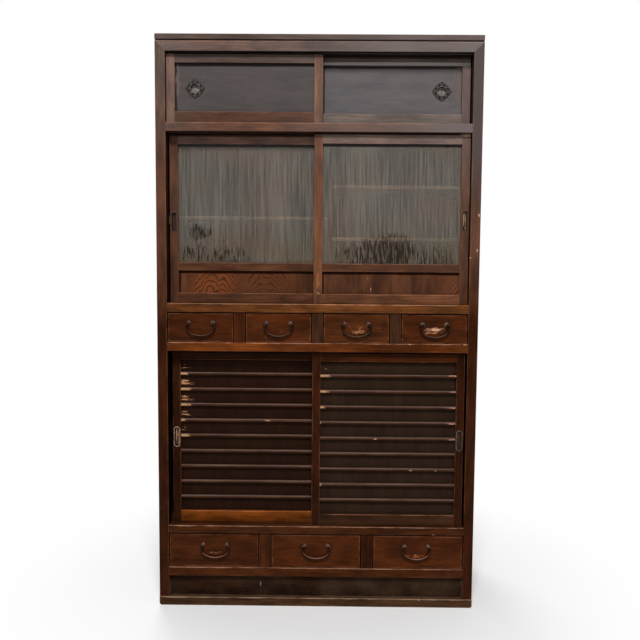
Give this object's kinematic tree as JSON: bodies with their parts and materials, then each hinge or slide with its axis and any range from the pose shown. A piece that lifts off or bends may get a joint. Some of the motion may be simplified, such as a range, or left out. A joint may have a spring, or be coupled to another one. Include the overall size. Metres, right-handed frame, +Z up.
{
  "type": "mizuya kitchen cabinet",
  "caption": "Tall lacquered wood kitchen cabinet: paired sliding doors with solid, glass and slatted panels over rows of drawers with bail handles.",
  "frame": {"origin": "on the floor under the middle of the case", "axes": "+Z up, the front faces -Y, +X to the right of someone facing the front"},
  "size_m": [1, 0.431, 1.788],
  "materials": {
    "lacquered_wood": "semi-gloss wiped lacquer over straight grain, worn on the edges",
    "grey_panel_wood": "satin lacquer, faded grey-brown",
    "figured_panel_wood": "semi-gloss, cathedral grain",
    "dark_panel_wood": "satin, nearly black",
    "plain_inner_wood": "bare, aged softwood",
    "side_panel_wood": "satin lacquer",
    "dusty_base_wood": "worn and dusty",
    "dark_iron": "blackened, rubbed bright where it is held",
    "rippled_glass": "obscured by fine upright ripples on one face"
  },
  "bodies": {
    "case": {"base_frame": "dusty_base_wood", "kick_board": "dusty_base_wood", "bottom_rail": "lacquered_wood", "lower_sill": "lacquered_wood", "lower_head": "lacquered_wood", "middle_rail": "lacquered_wood", "upper_sill": "lacquered_wood", "top_rail": "lacquered_wood", "left_front_post": "lacquered_wood", "right_front_post": "lacquered_wood", "side_and_rear_framing": "lacquered_wood", "side_panels": "side_panel_wood", "back_boards": "plain_inner_wood", "top_board": "lacquered_wood", "decks": "plain_inner_wood", "drawer_dividers": "lacquered_wood", "inner_shelves": "plain_inner_wood"},
    "upper_left_door": {"upper_left_door_frame": "lacquered_wood", "upper_left_door_panel": "grey_panel_wood", "upper_left_door_pull": "dark_iron"},
    "upper_right_door": {"upper_right_door_frame": "lacquered_wood", "upper_right_door_panel": "grey_panel_wood", "upper_right_door_pull": "dark_iron"},
    "glass_left_door": {"glass_left_door_frame": "lacquered_wood", "glass_left_door_pane": "rippled_glass", "glass_left_door_panel": "figured_panel_wood", "glass_left_door_pull": "dark_iron"},
    "glass_right_door": {"glass_right_door_frame": "lacquered_wood", "glass_right_door_pane": "rippled_glass", "glass_right_door_panel": "figured_panel_wood", "glass_right_door_pull": "dark_iron"},
    "slatted_left_door": {"slatted_left_door_frame": "lacquered_wood", "slatted_left_door_panel": "dark_panel_wood", "slatted_left_door_slats": "lacquered_wood", "slatted_left_door_pull": "dark_iron"},
    "slatted_right_door": {"slatted_right_door_frame": "lacquered_wood", "slatted_right_door_panel": "dark_panel_wood", "slatted_right_door_slats": "lacquered_wood", "slatted_right_door_pull": "dark_iron"},
    "small_drawer_1": {"small_drawer_1_box": "lacquered_wood", "small_drawer_1_handle_posts": "dark_iron"},
    "small_drawer_1_handle": {"small_drawer_1_bail": "dark_iron"},
    "small_drawer_2": {"small_drawer_2_box": "lacquered_wood", "small_drawer_2_handle_posts": "dark_iron"},
    "small_drawer_2_handle": {"small_drawer_2_bail": "dark_iron"},
    "small_drawer_3": {"small_drawer_3_box": "lacquered_wood", "small_drawer_3_handle_posts": "dark_iron"},
    "small_drawer_3_handle": {"small_drawer_3_bail": "dark_iron"},
    "small_drawer_4": {"small_drawer_4_box": "lacquered_wood", "small_drawer_4_handle_posts": "dark_iron"},
    "small_drawer_4_handle": {"small_drawer_4_bail": "dark_iron"},
    "large_drawer_1": {"large_drawer_1_box": "lacquered_wood", "large_drawer_1_handle_posts": "dark_iron"},
    "large_drawer_1_handle": {"large_drawer_1_bail": "dark_iron"},
    "large_drawer_2": {"large_drawer_2_box": "lacquered_wood", "large_drawer_2_handle_posts": "dark_iron"},
    "large_drawer_2_handle": {"large_drawer_2_bail": "dark_iron"},
    "large_drawer_3": {"large_drawer_3_box": "lacquered_wood", "large_drawer_3_handle_posts": "dark_iron"},
    "large_drawer_3_handle": {"large_drawer_3_bail": "dark_iron"}
  },
  "joints": [
    {"name": "upper_left_door_slide", "type": "slide", "parent": "case", "child": "upper_left_door", "axis": [1, 0, 0], "range_m": [0, 0.4568]},
    {"name": "upper_right_door_slide", "type": "slide", "parent": "case", "child": "upper_right_door", "axis": [-1, 0, 0], "range_m": [-0.002, 0.455]},
    {"name": "glass_left_door_slide", "type": "slide", "parent": "case", "child": "glass_left_door", "axis": [1, 0, 0], "range_m": [-0.0037, 0.4533]},
    {"name": "glass_right_door_slide", "type": "slide", "parent": "case", "child": "glass_right_door", "axis": [-1, 0, 0], "range_m": [-0.0015, 0.4555]},
    {"name": "slatted_left_door_slide", "type": "slide", "parent": "case", "child": "slatted_left_door", "axis": [1, 0, 0], "range_m": [-0.0075, 0.4495]},
    {"name": "slatted_right_door_slide", "type": "slide", "parent": "case", "child": "slatted_right_door", "axis": [-1, 0, 0], "range_m": [-0.0038, 0.4532]},
    {"name": "small_drawer_1_slide", "type": "slide", "parent": "case", "child": "small_drawer_1", "axis": [0, -1, 0], "range_m": [0, 0.29]},
    {"name": "small_drawer_2_slide", "type": "slide", "parent": "case", "child": "small_drawer_2", "axis": [0, -1, 0], "range_m": [0, 0.29]},
    {"name": "small_drawer_3_slide", "type": "slide", "parent": "case", "child": "small_drawer_3", "axis": [0, -1, 0], "range_m": [0, 0.29]},
    {"name": "small_drawer_4_slide", "type": "slide", "parent": "case", "child": "small_drawer_4", "axis": [0, -1, 0], "range_m": [0, 0.29]},
    {"name": "large_drawer_1_slide", "type": "slide", "parent": "case", "child": "large_drawer_1", "axis": [0, -1, 0], "range_m": [0, 0.29]},
    {"name": "large_drawer_2_slide", "type": "slide", "parent": "case", "child": "large_drawer_2", "axis": [0, -1, 0], "range_m": [0, 0.29]},
    {"name": "large_drawer_3_slide", "type": "slide", "parent": "case", "child": "large_drawer_3", "axis": [0, -1, 0], "range_m": [0, 0.29]},
    {"name": "small_drawer_1_handle_swing", "type": "hinge", "parent": "small_drawer_1", "child": "small_drawer_1_handle", "pos_m": [-0.3645, -0.216, 0.9093], "axis": [-1, 0, 0], "range_deg": [-5, 95]},
    {"name": "small_drawer_2_handle_swing", "type": "hinge", "parent": "small_drawer_2", "child": "small_drawer_2_handle", "pos_m": [-0.1215, -0.216, 0.9093], "axis": [-1, 0, 0], "range_deg": [-5, 95]},
    {"name": "small_drawer_3_handle_swing", "type": "hinge", "parent": "small_drawer_3", "child": "small_drawer_3_handle", "pos_m": [0.1215, -0.216, 0.9093], "axis": [-1, 0, 0], "range_deg": [-5, 95]},
    {"name": "small_drawer_4_handle_swing", "type": "hinge", "parent": "small_drawer_4", "child": "small_drawer_4_handle", "pos_m": [0.3645, -0.216, 0.9093], "axis": [-1, 0, 0], "range_deg": [-5, 95]},
    {"name": "large_drawer_1_handle_swing", "type": "hinge", "parent": "large_drawer_1", "child": "large_drawer_1_handle", "pos_m": [-0.322, -0.216, 0.19905], "axis": [-1, 0, 0], "range_deg": [-5, 95]},
    {"name": "large_drawer_2_handle_swing", "type": "hinge", "parent": "large_drawer_2", "child": "large_drawer_2_handle", "pos_m": [0, -0.216, 0.19905], "axis": [-1, 0, 0], "range_deg": [-5, 95]},
    {"name": "large_drawer_3_handle_swing", "type": "hinge", "parent": "large_drawer_3", "child": "large_drawer_3_handle", "pos_m": [0.319, -0.216, 0.19905], "axis": [-1, 0, 0], "range_deg": [-5, 95]}
  ]
}
